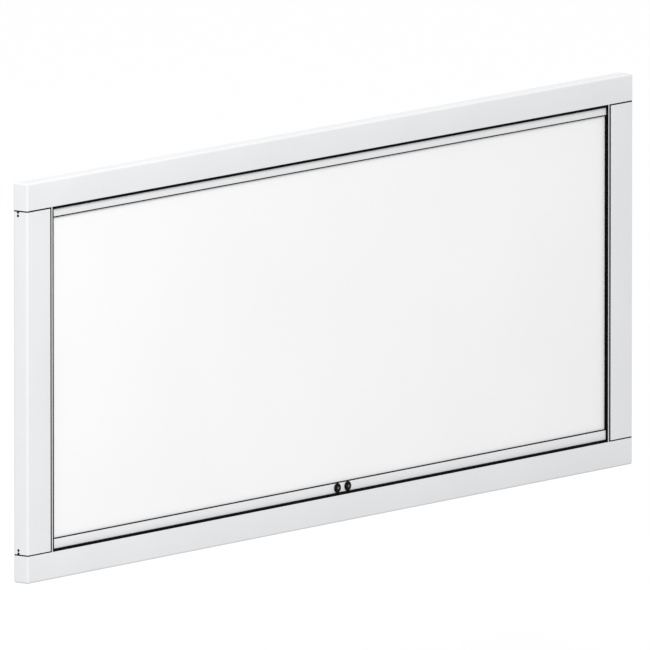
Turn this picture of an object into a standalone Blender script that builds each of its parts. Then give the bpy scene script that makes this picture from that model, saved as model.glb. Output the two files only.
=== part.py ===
"""Fixed-frame projector screen that hangs flat on a wall.

Metres, +Z up. The picture side faces -Y, X runs along the width and the origin is the centre of
the whole part. Sections are drawn with h, the distance in from the frame's outer edge, and d, the
depth behind the front face.
"""
import math

import bmesh
import bpy
from mathutils import Vector

# Overall frame
frame_width = 2.165
frame_height = 0.880
frame_depth = 0.040
rail_face = 0.060
stile_face = 0.080
edge_radius = 0.0044
inner_edge_radius = 0.0008
outer_wall = 0.002
inner_wall = 0.003
clearance = 0.0003

# Screen surface and what clamps its edge
strip_setback = 0.0048
strip_thickness = 0.0039
strip_web = 0.0014
top_strip_reach = 0.025
bottom_strip_reach = 0.029
strip_edge_radius = 0.0004
bead_width = 0.0089
bead_setback = 0.0008
bead_nose_radius = 0.0008
sheet_thickness = 0.0006
sheet_overlap = 0.008

# Black seals: pushed into the frame's groove, and round the surface
rail_seal_width = 0.0056
stile_seal_width = 0.0044
film_seal_width = 0.0020
side_film_seal_width = 0.0030
seal_setback = 0.0003
seal_nose_radius = 0.0005
groove_depth = 0.0012
groove_height = 0.0024
groove_centre = 0.0052

# Ledges inside the frame
ledge_thickness = 0.0025
rail_ledge = 0.026
stile_ledge = 0.020

# End caps of the rails
cap_thickness = 0.005
cap_corner_rest = 0.0004
plug_height = 0.013
plug_length = 0.010

# Corner brackets and their grub screws. grub_wall is the metal left between a side screw's hole and
# the stile's end, and between two such holes.
bracket_front = 0.0215
bracket_thickness = 0.010
bracket_rail_thickness = 0.008
bracket_rail_reach = 0.070
bracket_stile_reach = 0.060
grub_radius = 0.003
grub_length = 0.009
grub_chamfer = 0.0004
grub_sink = 0.0004
grub_socket = 0.003
grub_wall = 0.0008
side_grub_depth = 0.0265
back_grub_inset = 0.045

# Two round black screws on the bottom strip
strip_screw_places = (0.0165, 0.0535)
strip_screw_head_radius = 0.0106
strip_screw_head_height = 0.0038
strip_screw_rim = 0.0014
strip_screw_crown = 0.0003
strip_screw_crown_radius = 0.003
strip_screw_radius = 0.0025
strip_screw_spare = 0.0008
nut_flats = 0.008
nut_height = 0.004

# Vertical brace behind the surface
brace_width = 0.016
brace_wall = 0.0012
brace_screw_inset = 0.010
brace_screw_tip_gap = 0.0008

# Pan-head screws
pan_radius = 0.0035
pan_height = 0.0022
pan_rim_height = 0.0008
pan_edge_radius = 0.0010
pan_shank_radius = 0.0017
pan_socket = 0.0025
pan_socket_depth = 0.0014
hanger_screw_length = 0.008

# Hangers, wall cleats and bumpers
plate_thickness = 0.0015
hanger_place = 0.500
hanger_width = 0.080
hanger_screw_spread = 0.025
hanger_screw_drop = 0.012
hanger_top_drop = 0.008
hanger_plate_height = 0.034
hook_height = 0.012
hook_foot_gap = 0.001
cleat_plate_height = 0.034
cleat_hole_radius = 0.0025
cleat_hole_rise = 0.014
bumper_radius = 0.011
bumper_inset = 0.1825
bumper_edge = 0.001

# Facets
arc_steps = 5
screw_sides = 12
round_sides = 28
sharp_angle = 35
cutter_margin = 0.002

# Places worked out from the sizes above
half_width = frame_width / 2
half_height = frame_height / 2
seam_height = half_height - rail_face
stile_inside = half_width - stile_face
bead_inside = stile_inside - bead_width
trim_inside = bead_inside - clearance - side_film_seal_width
strip_back = strip_setback + strip_thickness
strip_screw_rise = rail_seal_width + 2 * clearance + strip_screw_head_radius
sheet_front = strip_back + clearance
sheet_back = sheet_front + sheet_thickness
ledge_front = sheet_back + clearance
ledge_back = ledge_front + ledge_thickness
bracket_back = frame_depth - edge_radius
grub_hole_radius = grub_radius + clearance
first_side_grub = clearance + grub_wall + grub_hole_radius
second_side_grub = first_side_grub + 2 * grub_hole_radius + grub_wall
side_grub_heights = (first_side_grub, second_side_grub)
hanger_back = frame_depth + clearance + plate_thickness
cleat_hook_front = hanger_back + clearance
cleat_hook_back = cleat_hook_front + plate_thickness
hanger_hook_front = cleat_hook_back + clearance
hanger_hook_back = hanger_hook_front + plate_thickness
wall_depth = hanger_hook_back + clearance
hanger_top = half_height - hanger_top_drop
hanger_joggle = hanger_top - hanger_plate_height
hook_foot = hanger_joggle - hook_height
cleat_joggle = hook_foot - hook_foot_gap - plate_thickness
cleat_bottom = cleat_joggle - cleat_plate_height


def y_of(depth):
    """World Y of a depth behind the frame's front face."""
    return depth - wall_depth / 2


def remove_everything():
    """Empties the scene that the script starts in."""
    for thing in list(bpy.data.objects):
        bpy.data.objects.remove(thing, do_unlink=True)


def make_material(name, colour, roughness, metallic):
    """One Principled material with a plain colour."""
    material = bpy.data.materials.new(name)
    material.use_nodes = True
    shader = material.node_tree.nodes["Principled BSDF"]
    shader.inputs["Base Color"].default_value = (*colour, 1.0)
    shader.inputs["Roughness"].default_value = roughness
    shader.inputs["Metallic"].default_value = metallic
    material.diffuse_color = (*colour, 1.0)
    return material


def arc(centre, radius, start, end):
    """Points on an arc about a centre, from one angle to another in degrees."""
    angles = [math.radians(start + (end - start) * i / arc_steps) for i in range(arc_steps + 1)]
    return [(centre[0] + radius * math.cos(a), centre[1] + radius * math.sin(a)) for a in angles]


def add_loft(mesh, rings, closed=False):
    """Skins rings of equally many points, and closes the two ends or joins the last to the first."""
    rows = [[mesh.verts.new(point) for point in ring] for ring in rings]
    pairs = list(zip(rows, rows[1:]))
    if closed:
        pairs.append((rows[-1], rows[0]))
    count = len(rows[0])
    for near, far in pairs:
        for i in range(count):
            j = (i + 1) % count
            mesh.faces.new((near[i], near[j], far[j], far[i]))
    if not closed:
        mesh.faces.new(rows[0])
        mesh.faces.new(rows[-1])


def add_prism(mesh, outline, start, end, place):
    """Carries a flat outline from start to end, where place(u, v, w) gives a point's position."""
    add_loft(mesh, [[place(u, v, w) for u, v in outline] for w in (start, end)])


def add_box(mesh, low, high):
    """A box between two corners."""
    outline = [(low[0], low[1]), (high[0], low[1]), (high[0], high[1]), (low[0], high[1])]
    add_prism(mesh, outline, low[2], high[2], lambda u, v, w: (u, v, w))


def ring(radius, along, sides, head, facing):
    """A round ring, at a distance along from the head's centre into the material."""
    facing = Vector(facing)
    across = Vector((0.0, 0.0, 1.0))
    other = facing.cross(across)
    angles = [2 * math.pi * i / sides for i in range(sides)]
    return [Vector(head) - facing * along + (across * math.cos(a) + other * math.sin(a)) * radius
            for a in angles]


def hexagon_ring(flats, along, sides, head, facing):
    """A ring on a regular hexagon, with as many points as a round ring of that many sides."""
    points = ring(1.0, 0.0, sides, (0.0, 0.0, 0.0), facing)
    centre = Vector(head) - Vector(facing) * along
    reach = [flats / 2 / math.cos((2 * math.pi * i / sides) % (math.pi / 3) - math.pi / 6)
             for i in range(sides)]
    return [centre + point * size for point, size in zip(points, reach)]


def add_cylinder(mesh, radius, head, facing, length, sides=screw_sides):
    """A plain round bar that starts at its head and runs against the way it faces."""
    add_loft(mesh, [ring(radius, w, sides, head, facing) for w in (0.0, length)])


def new_mesh():
    """An empty mesh to build in."""
    return bmesh.new()


def keep(name, mesh, material=None):
    """Turns a finished mesh into a named object with its faces pointing out."""
    bmesh.ops.recalc_face_normals(mesh, faces=mesh.faces)
    data = bpy.data.meshes.new(name)
    mesh.to_mesh(data)
    mesh.free()
    thing = bpy.data.objects.new(name, data)
    bpy.context.scene.collection.objects.link(thing)
    if material is not None:
        data.materials.append(material)
        data.shade_smooth()
        data.set_sharp_from_angle(angle=math.radians(sharp_angle))
    return thing


def combine(thing, operation, name, mesh):
    """Cuts a mesh out of an object, or joins it on, with a Boolean that stays on the object."""
    tool = keep(name, mesh)
    tool.hide_render = True
    tool.display_type = "WIRE"
    modifier = thing.modifiers.new(name, "BOOLEAN")
    modifier.operation = operation
    modifier.solver = "EXACT"
    modifier.object = tool


def half_round_outline(reach, inset):
    """Round outer corners, square inner ones: the frame's outline moved in by an inset."""
    front = arc((edge_radius, edge_radius), edge_radius - inset, 180, 270)
    back = arc((edge_radius, frame_depth - edge_radius), edge_radius - inset, 90, 180)
    return front + [(reach, inset), (reach, frame_depth - inset)] + back


def member_outline(face):
    """Outside of a frame extrusion, with the groove for a push-in seal in its inner side."""
    groove_front = groove_centre - groove_height / 2
    groove_back = groove_centre + groove_height / 2
    points = arc((edge_radius, edge_radius), edge_radius, 180, 270)
    points += arc((face - inner_edge_radius, inner_edge_radius), inner_edge_radius, 270, 360)
    points += [(face, groove_front), (face - groove_depth, groove_front)]
    points += [(face - groove_depth, groove_back), (face, groove_back)]
    points += arc((face - inner_edge_radius, frame_depth - inner_edge_radius), inner_edge_radius, 0, 90)
    points += arc((edge_radius, frame_depth - edge_radius), edge_radius, 90, 180)
    return points


def ledge_outline(face, ledge):
    """Section of a ledge, rooted in the middle of the extrusion's inner wall."""
    root = face - inner_wall / 2
    tip = face + ledge
    return [(root, ledge_front), (tip, ledge_front), (tip, ledge_back), (root, ledge_back)]


def bar_outline(start, end, front, back, nose, tongue=False):
    """A bar with a rounded nose in front, and a tongue on its start side if it is pushed in."""
    points = arc((start + nose, front + nose), nose, 180, 270)
    points += arc((end - nose, front + nose), nose, 270, 360)
    points += [(end, back), (start, back)]
    if tongue:
        tip = clearance - groove_depth
        low = groove_centre + groove_height / 2 - clearance
        high = groove_centre - groove_height / 2 + clearance
        points += [(start, low), (tip, low), (tip, high), (start, high)]
    return points


def channel_outline(start, end):
    """Section of a cover strip: a thin web in front and a leg behind each long edge."""
    nose = strip_edge_radius
    web_back = strip_setback + strip_web
    points = arc((start + nose, strip_setback + nose), nose, 180, 270)
    points += arc((end - nose, strip_setback + nose), nose, 270, 360)
    points += [(end, strip_back), (end - strip_web, strip_back), (end - strip_web, web_back)]
    points += [(start + strip_web, web_back), (start + strip_web, strip_back), (start, strip_back)]
    return points


def rail_place(side):
    """Places a section on the top (1) or bottom (-1) rail, carried along X."""
    return lambda h, d, w: (w, y_of(d), side * (half_height - h))


def stile_place(side):
    """Places a section on the right (1) or left (-1) stile, carried along Z."""
    return lambda h, d, w: (side * (half_width - h), y_of(d), w)


def inside_rail_place(side):
    """As rail_place, but counted from the rail's inner edge towards the picture."""
    return lambda u, d, w: (w, y_of(d), side * (seam_height - u))


def inside_stile_place(side):
    """As stile_place, but counted from the stile's inner edge towards the picture."""
    return lambda u, d, w: (side * (stile_inside - u), y_of(d), w)


def strip_screw_heads():
    """Centres of the two round screws on the bottom strip's front plane."""
    return [(x, y_of(strip_setback), strip_screw_rise - seam_height) for x in strip_screw_places]


def bracket_leg_height():
    """Height of the middle of a bracket's rail leg, above the seam."""
    return seam_height + inner_wall + clearance + bracket_rail_thickness / 2


def back_grub_head(across, up):
    """Centre of the back screw's socket face at a corner."""
    x = across * (half_width - back_grub_inset)
    return (x, y_of(frame_depth - grub_sink), up * bracket_leg_height())


def side_grub_head(across, up, height):
    """Centre of a side screw's socket face at a corner."""
    return (across * (half_width - grub_sink), y_of(side_grub_depth), up * (seam_height - height))


def brace_screw_height(up):
    """Height of a brace screw."""
    return up * (seam_height - brace_screw_inset)


def hanger_screw_head(place):
    """Centre of a hanger screw, on the back of the hanger's plate."""
    return (place, y_of(hanger_back + clearance), hanger_top - hanger_screw_drop)


def hanger_screw_places(side):
    """The two screw places across one hanger."""
    return [side * hanger_place + spread for spread in (-hanger_screw_spread, hanger_screw_spread)]


def make_rail(name, side, material):
    """A hollow rail over the full width, with its ledge between the stiles."""
    length = half_width - cap_thickness
    place = rail_place(side)
    mesh = new_mesh()
    add_prism(mesh, member_outline(rail_face), -length, length, place)
    rail = keep(name, mesh, material)

    ledge = new_mesh()
    ledge_length = stile_inside - clearance
    add_prism(ledge, ledge_outline(rail_face, rail_ledge), -ledge_length, ledge_length, place)
    combine(rail, "UNION", name + "_ledge", ledge)

    hollow = new_mesh()
    reach = rail_face - inner_wall
    beyond = length + cutter_margin
    add_prism(hollow, half_round_outline(reach, outer_wall), -beyond, beyond, place)
    combine(rail, "DIFFERENCE", name + "_hollow", hollow)

    cuts = new_mesh()
    for across in (-1, 1):
        slot_end = outer_wall + 2 * clearance + bracket_thickness
        xs = sorted((across * (half_width - slot_end), across * (half_width + cutter_margin)))
        zs = sorted((side * (seam_height - cutter_margin),
                     side * (seam_height + inner_wall + cutter_margin)))
        ys = (y_of(bracket_front - clearance), y_of(bracket_back + clearance))
        add_box(cuts, (xs[0], ys[0], zs[0]), (xs[1], ys[1], zs[1]))
        x, _, z = back_grub_head(across, side)
        head = (x, y_of(frame_depth + cutter_margin), z)
        add_cylinder(cuts, grub_hole_radius, head, (0, 1, 0), outer_wall + 2 * cutter_margin)
    ledge_hole = (0.0, y_of(ledge_back + cutter_margin), brace_screw_height(side))
    ledge_cut = ledge_thickness + 2 * cutter_margin
    add_cylinder(cuts, pan_shank_radius + clearance, ledge_hole, (0, 1, 0), ledge_cut)
    if side > 0:
        for place_x in hanger_screw_places(-1) + hanger_screw_places(1):
            x, _, z = hanger_screw_head(place_x)
            head = (x, y_of(frame_depth + cutter_margin), z)
            wall_cut = outer_wall + 2 * cutter_margin
            add_cylinder(cuts, pan_shank_radius + clearance, head, (0, 1, 0), wall_cut)
    else:
        for x, _, z in strip_screw_heads():
            head = (x, y_of(ledge_back + cutter_margin), z)
            add_cylinder(cuts, strip_screw_radius + clearance, head, (0, 1, 0), ledge_cut)
    combine(rail, "DIFFERENCE", name + "_cuts", cuts)


def make_stile(name, side, material):
    """A hollow stile that butts between the rails, with its ledge between theirs."""
    length = seam_height - clearance
    place = stile_place(side)
    mesh = new_mesh()
    add_prism(mesh, member_outline(stile_face), -length, length, place)
    stile = keep(name, mesh, material)

    ledge = new_mesh()
    ledge_length = seam_height - rail_ledge - clearance
    add_prism(ledge, ledge_outline(stile_face, stile_ledge), -ledge_length, ledge_length, place)
    combine(stile, "UNION", name + "_ledge", ledge)

    hollow = new_mesh()
    reach = stile_face - inner_wall
    beyond = length + cutter_margin
    add_prism(hollow, half_round_outline(reach, outer_wall), -beyond, beyond, place)
    combine(stile, "DIFFERENCE", name + "_hollow", hollow)

    cuts = new_mesh()
    for up in (-1, 1):
        for height in side_grub_heights:
            _, y, z = side_grub_head(side, up, height)
            head = (side * (half_width + cutter_margin), y, z)
            wall_cut = outer_wall + 2 * cutter_margin
            add_cylinder(cuts, grub_hole_radius, head, (side, 0, 0), wall_cut)
    combine(stile, "DIFFERENCE", name + "_cuts", cuts)


def make_end_cap(name, across, up, material):
    """Closes a rail's end: a plate whose rim is rounded like the frame's edges, and a plug."""
    rounding = edge_radius - cap_corner_rest
    rings = [(half_width - cap_thickness, 0.0)]
    for i in range(arc_steps + 1):
        angle = math.pi / 2 * i / arc_steps
        rings.append((half_width - rounding + rounding * math.sin(angle),
                      rounding * (1 - math.cos(angle))))
    place = rail_place(up)
    mesh = new_mesh()
    add_loft(mesh, [[place(h, d, across * x) for h, d in half_round_outline(rail_face, inset)]
                    for x, inset in rings])
    cap = keep(name, mesh, material)

    plug = new_mesh()
    outline = half_round_outline(plug_height, outer_wall + clearance)
    inner = half_width - cap_thickness - plug_length
    outer = half_width - cap_thickness / 2
    add_prism(plug, outline, across * inner, across * outer, place)
    combine(cap, "UNION", name + "_plug", plug)


def make_corner_bracket(name, across, up, material):
    """An L of cast metal: one leg inside the rail and one that drops into the stile."""
    near = outer_wall + clearance
    far = near + bracket_thickness
    beside_cap = cap_thickness + clearance
    step = -2 * clearance
    rail_low = inner_wall + clearance
    rail_high = rail_low + bracket_rail_thickness
    rail_end = beside_cap + bracket_rail_reach
    outline = [(near, -bracket_stile_reach), (far, -bracket_stile_reach), (far, rail_low),
               (rail_end, rail_low), (rail_end, rail_high), (beside_cap, rail_high),
               (beside_cap, step), (near, step)]
    mesh = new_mesh()
    add_prism(mesh, outline, bracket_front, bracket_back,
              lambda u, v, w: (across * (half_width - u), y_of(w), up * (seam_height + v)))
    bracket = keep(name, mesh, material)

    cuts = new_mesh()
    leg_cut = bracket_thickness + 2 * cutter_margin
    for height in side_grub_heights:
        _, y, z = side_grub_head(across, up, height)
        head = (across * (half_width - near + cutter_margin), y, z)
        add_cylinder(cuts, grub_hole_radius, head, (across, 0, 0), leg_cut)
    x, _, z = back_grub_head(across, up)
    head = (x, y_of(bracket_back + cutter_margin), z)
    back_cut = bracket_back - bracket_front + 2 * cutter_margin
    add_cylinder(cuts, grub_hole_radius, head, (0, 1, 0), back_cut)
    combine(bracket, "DIFFERENCE", name + "_holes", cuts)


def make_grub_screw(name, head, facing, material):
    """A headless screw with a hexagon socket."""
    neck = grub_radius - grub_chamfer
    mesh = new_mesh()
    add_loft(mesh, [
        hexagon_ring(grub_socket, grub_socket, screw_sides, head, facing),
        hexagon_ring(grub_socket, 0.0, screw_sides, head, facing),
        ring(neck, 0.0, screw_sides, head, facing),
        ring(grub_radius, grub_chamfer, screw_sides, head, facing),
        ring(grub_radius, grub_length - grub_chamfer, screw_sides, head, facing),
        ring(neck, grub_length, screw_sides, head, facing)])
    keep(name, mesh, material)


def make_pan_screw(name, seat, facing, length, material):
    """A pan-head screw with a hexagon socket, whose head rises from its seat."""
    shoulder = pan_radius - pan_edge_radius
    mesh = new_mesh()
    add_loft(mesh, [
        hexagon_ring(pan_socket, pan_socket_depth - pan_height, screw_sides, seat, facing),
        hexagon_ring(pan_socket, -pan_height, screw_sides, seat, facing),
        ring(shoulder, -pan_height, screw_sides, seat, facing),
        ring(pan_radius, -pan_rim_height, screw_sides, seat, facing),
        ring(pan_radius, 0.0, screw_sides, seat, facing),
        ring(pan_shank_radius, 0.0, screw_sides, seat, facing),
        ring(pan_shank_radius, length, screw_sides, seat, facing)])
    keep(name, mesh, material)


def make_strip_screw(name, face, material):
    """A low, round-headed clamp screw that stands on the bottom strip."""
    facing = (0, -1, 0)
    seat = Vector(face) + Vector(facing) * clearance
    tip = ledge_back + clearance + nut_height + strip_screw_spare - strip_setback + clearance
    shoulder = strip_screw_head_radius - strip_screw_rim
    mesh = new_mesh()
    rings = [ring(strip_screw_crown_radius, -strip_screw_head_height, round_sides, seat, facing)]
    for i in range(arc_steps + 1):
        angle = math.pi / 2 * i / arc_steps
        radius = shoulder + strip_screw_rim * math.sin(angle)
        drop = strip_screw_crown + strip_screw_rim * (1 - math.cos(angle))
        rings.append(ring(radius, drop - strip_screw_head_height, round_sides, seat, facing))
    rings += [ring(strip_screw_head_radius, 0.0, round_sides, seat, facing),
              ring(strip_screw_radius, 0.0, round_sides, seat, facing),
              ring(strip_screw_radius, tip, round_sides, seat, facing)]
    add_loft(mesh, rings)
    keep(name, mesh, material)


def make_nut(name, face, material):
    """A hexagon nut on the back of the bottom ledge."""
    facing = (0, 1, 0)
    back = (face[0], y_of(ledge_back + clearance + nut_height), face[2])
    hole = strip_screw_radius + clearance
    mesh = new_mesh()
    add_loft(mesh, [
        hexagon_ring(nut_flats, 0.0, screw_sides, back, facing),
        hexagon_ring(nut_flats, nut_height, screw_sides, back, facing),
        ring(hole, nut_height, screw_sides, back, facing),
        ring(hole, 0.0, screw_sides, back, facing)], closed=True)
    keep(name, mesh, material)


def make_strip(name, side, reach, material):
    """A cover strip that clamps the surface's top or bottom edge, up to the seal beside it."""
    length = trim_inside - clearance
    mesh = new_mesh()
    outline = channel_outline(rail_seal_width + clearance, reach - film_seal_width - clearance)
    add_prism(mesh, outline, -length, length, inside_rail_place(side))
    strip = keep(name, mesh, material)
    if side < 0:
        cuts = new_mesh()
        for x, _, z in strip_screw_heads():
            head = (x, y_of(strip_back + cutter_margin), z)
            cut = strip_thickness + 2 * cutter_margin
            add_cylinder(cuts, strip_screw_radius + clearance, head, (0, 1, 0), cut)
        combine(strip, "DIFFERENCE", name + "_holes", cuts)


def make_rail_edge(name, side, reach, black):
    """Along a rail: the seal in its groove, and a narrow seal between cover strip and picture."""
    length = trim_inside - clearance
    place = inside_rail_place(side)
    mesh = new_mesh()
    outline = bar_outline(clearance, rail_seal_width, seal_setback, sheet_back, seal_nose_radius, True)
    add_prism(mesh, outline, -length, length, place)
    keep(name + "_rail_seal", mesh, black)

    mesh = new_mesh()
    outline = bar_outline(reach - film_seal_width, reach, strip_setback, strip_back, strip_edge_radius)
    add_prism(mesh, outline, -length, length, place)
    keep(name + "_film_seal", mesh, black)


def make_stile_edge(name, side, black, grey):
    """Along a stile: the seal in its groove, a bead beside it, and a narrow seal at the picture."""
    bead_start = stile_seal_width + clearance
    film_seal_start = bead_width + clearance
    film_seal_end = film_seal_start + side_film_seal_width
    bars = [
        ("_stile_seal", (clearance, stile_seal_width, seal_setback, strip_back, seal_nose_radius, True),
         black),
        ("_bead", (bead_start, bead_width, bead_setback, strip_back, bead_nose_radius), grey),
        ("_film_seal", (film_seal_start, film_seal_end, seal_setback, strip_back, seal_nose_radius),
         black)]
    length = seam_height - clearance
    for ending, section, material in bars:
        mesh = new_mesh()
        add_prism(mesh, bar_outline(*section), -length, length, inside_stile_place(side))
        keep(name + ending, mesh, material)


def make_surface(name, material):
    """The matt white picture surface, clamped round its edge in front of the ledges."""
    reach = bead_inside + sheet_overlap
    low = -seam_height + bottom_strip_reach - sheet_overlap
    high = seam_height - top_strip_reach + sheet_overlap
    mesh = new_mesh()
    add_box(mesh, (-reach, y_of(sheet_front), low), (reach, y_of(sheet_back), high))
    keep(name, mesh, material)


def make_brace(name, material):
    """A square tube between the rails that stops the frame from bowing."""
    half = brace_width / 2
    front = ledge_back + clearance
    length = seam_height - clearance

    def square(inset):
        return [(-half + inset, front + inset), (half - inset, front + inset),
                (half - inset, front + brace_width - inset), (-half + inset, front + brace_width - inset)]

    def place(u, d, w):
        return (u, y_of(d), w)

    mesh = new_mesh()
    add_prism(mesh, square(0.0), -length, length, place)
    brace = keep(name, mesh, material)
    cuts = new_mesh()
    add_prism(cuts, square(brace_wall), -length - cutter_margin, length + cutter_margin, place)
    combine(brace, "DIFFERENCE", name + "_hollow", cuts)
    holes = new_mesh()
    for up in (-1, 1):
        head = (0.0, y_of(front + brace_width + cutter_margin), brace_screw_height(up))
        cut = brace_width + 2 * cutter_margin
        add_cylinder(holes, pan_shank_radius + clearance, head, (0, 1, 0), cut)
    combine(brace, "DIFFERENCE", name + "_holes", holes)


def make_brace_screw(name, up, material):
    """Holds one end of the brace to a ledge, and stops short of the surface."""
    seat_depth = ledge_back + clearance + brace_width + clearance
    seat = (0.0, y_of(seat_depth), brace_screw_height(up))
    make_pan_screw(name, seat, (0, 1, 0), seat_depth - sheet_back - brace_screw_tip_gap, material)


def make_hanger(name, side, material):
    """A bent plate on the top rail's back, whose hook turns down behind the cleat's."""
    front = frame_depth + clearance
    outline = [(front, hanger_top), (hanger_back, hanger_top),
               (hanger_back, hanger_joggle + plate_thickness),
               (hanger_hook_back, hanger_joggle + plate_thickness), (hanger_hook_back, hook_foot),
               (hanger_hook_front, hook_foot), (hanger_hook_front, hanger_joggle),
               (front, hanger_joggle)]
    middle = side * hanger_place
    half = hanger_width / 2
    mesh = new_mesh()
    add_prism(mesh, outline, middle - half, middle + half, lambda u, v, w: (w, y_of(u), v))
    hanger = keep(name, mesh, material)
    cuts = new_mesh()
    for place in hanger_screw_places(side):
        x, _, z = hanger_screw_head(place)
        head = (x, y_of(hanger_back + cutter_margin), z)
        cut = plate_thickness + 2 * cutter_margin
        add_cylinder(cuts, pan_shank_radius + clearance, head, (0, 1, 0), cut)
    combine(hanger, "DIFFERENCE", name + "_holes", cuts)


def make_wall_cleat(name, side, material):
    """A bent plate that is screwed to the wall, whose hook turns up in front of the hanger's."""
    top = hanger_joggle - clearance
    plate_front = wall_depth - plate_thickness
    outline = [(cleat_hook_front, top), (cleat_hook_back, top),
               (cleat_hook_back, cleat_joggle + plate_thickness),
               (wall_depth, cleat_joggle + plate_thickness), (wall_depth, cleat_bottom),
               (plate_front, cleat_bottom), (plate_front, cleat_joggle),
               (cleat_hook_front, cleat_joggle)]
    middle = side * hanger_place
    half = hanger_width / 2
    mesh = new_mesh()
    add_prism(mesh, outline, middle - half, middle + half, lambda u, v, w: (w, y_of(u), v))
    cleat = keep(name, mesh, material)
    cuts = new_mesh()
    for place in hanger_screw_places(side):
        head = (place, y_of(wall_depth + cutter_margin), cleat_bottom + cleat_hole_rise)
        add_cylinder(cuts, cleat_hole_radius, head, (0, 1, 0), plate_thickness + 2 * cutter_margin)
    combine(cleat, "DIFFERENCE", name + "_holes", cuts)


def make_bumper(name, side, material):
    """A rubber disc that keeps the bottom rail as far from the wall as the hangers do."""
    head = (side * (half_width - bumper_inset), y_of(wall_depth), -half_height + rail_face / 2)
    facing = (0, 1, 0)
    length = wall_depth - frame_depth - clearance
    mesh = new_mesh()
    add_loft(mesh, [
        ring(bumper_radius - bumper_edge, 0.0, round_sides, head, facing),
        ring(bumper_radius, bumper_edge, round_sides, head, facing),
        ring(bumper_radius, length, round_sides, head, facing)])
    keep(name, mesh, material)


def build():
    """Makes every piece of the screen."""
    remove_everything()
    painted = make_material("light_grey_painted_aluminium", (0.80, 0.80, 0.80), 0.42, 0.0)
    strip_grey = make_material("light_grey_strip", (0.72, 0.72, 0.72), 0.5, 0.0)
    bead_grey = make_material("mid_grey_bead", (0.42, 0.42, 0.42), 0.5, 0.0)
    rubber = make_material("black_rubber", (0.012, 0.012, 0.012), 0.6, 0.0)
    black_steel = make_material("black_steel", (0.015, 0.015, 0.015), 0.3, 0.6)
    white = make_material("matt_white_surface", (0.90, 0.90, 0.90), 0.95, 0.0)
    bare = make_material("bare_aluminium", (0.70, 0.71, 0.72), 0.35, 1.0)
    zinc = make_material("zinc_plated_steel", (0.60, 0.61, 0.62), 0.3, 1.0)

    for name, side in (("top", 1), ("bottom", -1)):
        make_rail(name + "_rail", side, painted)
    for name, side in (("left", -1), ("right", 1)):
        make_stile(name + "_stile", side, painted)
    for level, up in (("top", 1), ("bottom", -1)):
        for hand, across in (("left", -1), ("right", 1)):
            corner = level + "_" + hand
            make_end_cap(corner + "_end_cap", across, up, painted)
            make_corner_bracket(corner + "_corner_bracket", across, up, bare)
            for number, height in enumerate(side_grub_heights, 1):
                make_grub_screw(f"{corner}_side_screw_{number}", side_grub_head(across, up, height),
                                (across, 0, 0), black_steel)
            make_grub_screw(corner + "_back_screw", back_grub_head(across, up), (0, 1, 0), black_steel)

    for name, side, reach in (("top", 1, top_strip_reach), ("bottom", -1, bottom_strip_reach)):
        make_strip(name + "_strip", side, reach, strip_grey)
        make_rail_edge(name, side, reach, rubber)
    for name, side in (("left", -1), ("right", 1)):
        make_stile_edge(name, side, rubber, bead_grey)
    make_surface("screen_surface", white)
    for name, face in zip(("left", "right"), strip_screw_heads()):
        make_strip_screw(name + "_strip_screw", face, black_steel)
        make_nut(name + "_strip_nut", face, zinc)

    make_brace("centre_brace", bare)
    make_brace_screw("top_brace_screw", 1, zinc)
    make_brace_screw("bottom_brace_screw", -1, zinc)
    for name, side in (("left", -1), ("right", 1)):
        make_hanger(name + "_hanger", side, zinc)
        make_wall_cleat(name + "_wall_cleat", side, zinc)
        make_bumper(name + "_bumper", side, rubber)
        for number, place in enumerate(hanger_screw_places(side), 1):
            make_pan_screw(f"{name}_hanger_screw_{number}", hanger_screw_head(place), (0, 1, 0),
                           hanger_screw_length, zinc)


build()
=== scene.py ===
"""Looks of the wall-hung projector screen.

Metres, +Z up, the picture side faces -Y. Sections are drawn with h, the distance in from the
frame's outer edge, and d, the depth behind the front face, as the frame's own pieces are.
"""
import math

import bmesh
import bpy
import numpy as np
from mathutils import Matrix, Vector


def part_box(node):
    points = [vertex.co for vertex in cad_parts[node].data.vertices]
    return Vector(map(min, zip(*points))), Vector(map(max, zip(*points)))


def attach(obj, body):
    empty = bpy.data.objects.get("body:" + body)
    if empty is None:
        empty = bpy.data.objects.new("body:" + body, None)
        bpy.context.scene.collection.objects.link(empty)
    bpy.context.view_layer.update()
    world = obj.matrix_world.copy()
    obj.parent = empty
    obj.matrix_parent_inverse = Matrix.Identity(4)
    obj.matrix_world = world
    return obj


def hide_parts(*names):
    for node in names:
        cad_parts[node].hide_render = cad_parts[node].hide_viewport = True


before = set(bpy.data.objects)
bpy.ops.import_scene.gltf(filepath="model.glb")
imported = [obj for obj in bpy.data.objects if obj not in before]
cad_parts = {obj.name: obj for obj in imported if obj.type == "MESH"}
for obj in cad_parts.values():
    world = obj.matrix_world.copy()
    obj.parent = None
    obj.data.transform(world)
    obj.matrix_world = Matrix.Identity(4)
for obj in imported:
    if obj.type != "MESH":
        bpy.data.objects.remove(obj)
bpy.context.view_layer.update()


def box_of(name):
    """Low and high corner of a CAD node's box."""
    return [np.array(corner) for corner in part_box(name)]


def middle_of(name):
    """Middle of a CAD node's box, which for a screw is a point on its axis."""
    low, high = box_of(name)
    return (low + high) / 2


# Sizes read from the frame
rail_low, rail_high = box_of("top_rail")
sheet_low, sheet_high = box_of("screen_surface")
cleat_low, cleat_high = box_of("right_wall_cleat")
hanger_low, hanger_high = box_of("right_hanger")
brace_low, brace_high = box_of("centre_brace")

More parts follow.
